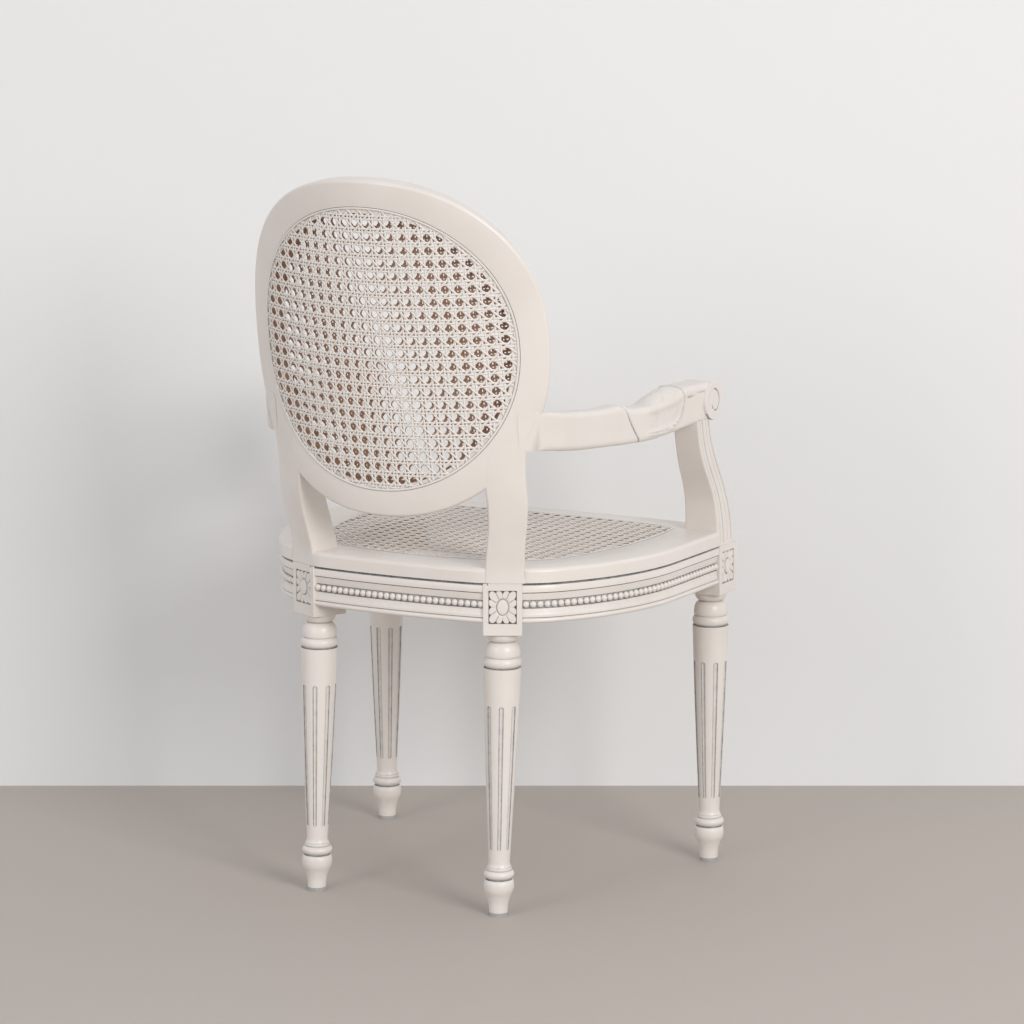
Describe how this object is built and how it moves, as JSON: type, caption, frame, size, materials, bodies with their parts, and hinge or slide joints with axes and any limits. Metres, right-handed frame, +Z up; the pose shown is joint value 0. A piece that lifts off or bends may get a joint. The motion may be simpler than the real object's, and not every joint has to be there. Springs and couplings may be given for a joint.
{
  "type": "rattan armchair",
  "caption": "Open armchair with a curved oval back caned on both faces, a caned seat, scrolled arms, beaded rails and turned fluted legs.",
  "frame": {"origin": "floor level, under the centre of the chair's overall box", "axes": "+Z up, -Y the way the sitter faces, +X the sitter's left"},
  "size_m": [0.5808, 0.5616, 1.0026],
  "materials": {
    "paint": "aged cream white paint with blue-grey patina in the recesses",
    "cane": "woven rattan cane under a worn whitish wash",
    "bare_wood": "unpainted beech",
    "glide": "matte grey",
    "steel": "plain"
  },
  "bodies": {
    "root": {"rear_leg_left": "paint", "rear_leg_right": "paint", "front_leg_left": "paint", "front_leg_right": "paint", "glide_rear_left": "glide", "glide_rear_right": "glide", "glide_front_left": "glide", "glide_front_right": "glide", "rear_rail": "paint", "front_rail": "paint", "side_rail_left": "paint", "side_rail_right": "paint", "rear_border": "paint", "front_border": "paint", "side_border_left": "paint", "side_border_right": "paint", "seat_cane": "cane", "seat_spline": "cane", "brace_rear_left": "bare_wood", "brace_rear_right": "bare_wood", "brace_front_left": "bare_wood", "brace_front_right": "bare_wood", "brace_screws": "steel", "back_crest": "paint", "back_side_left": "paint", "back_side_right": "paint", "back_base": "paint", "back_cane_outer": "cane", "back_cane_inner": "cane", "back_spline_outer": "cane", "back_spline_inner": "cane", "arm_left": "paint", "arm_right": "paint", "arm_support_left": "paint", "arm_support_right": "paint", "rail_dowels": "bare_wood", "back_dowels": "bare_wood", "arm_dowels": "bare_wood"}
  },
  "joints": []
}
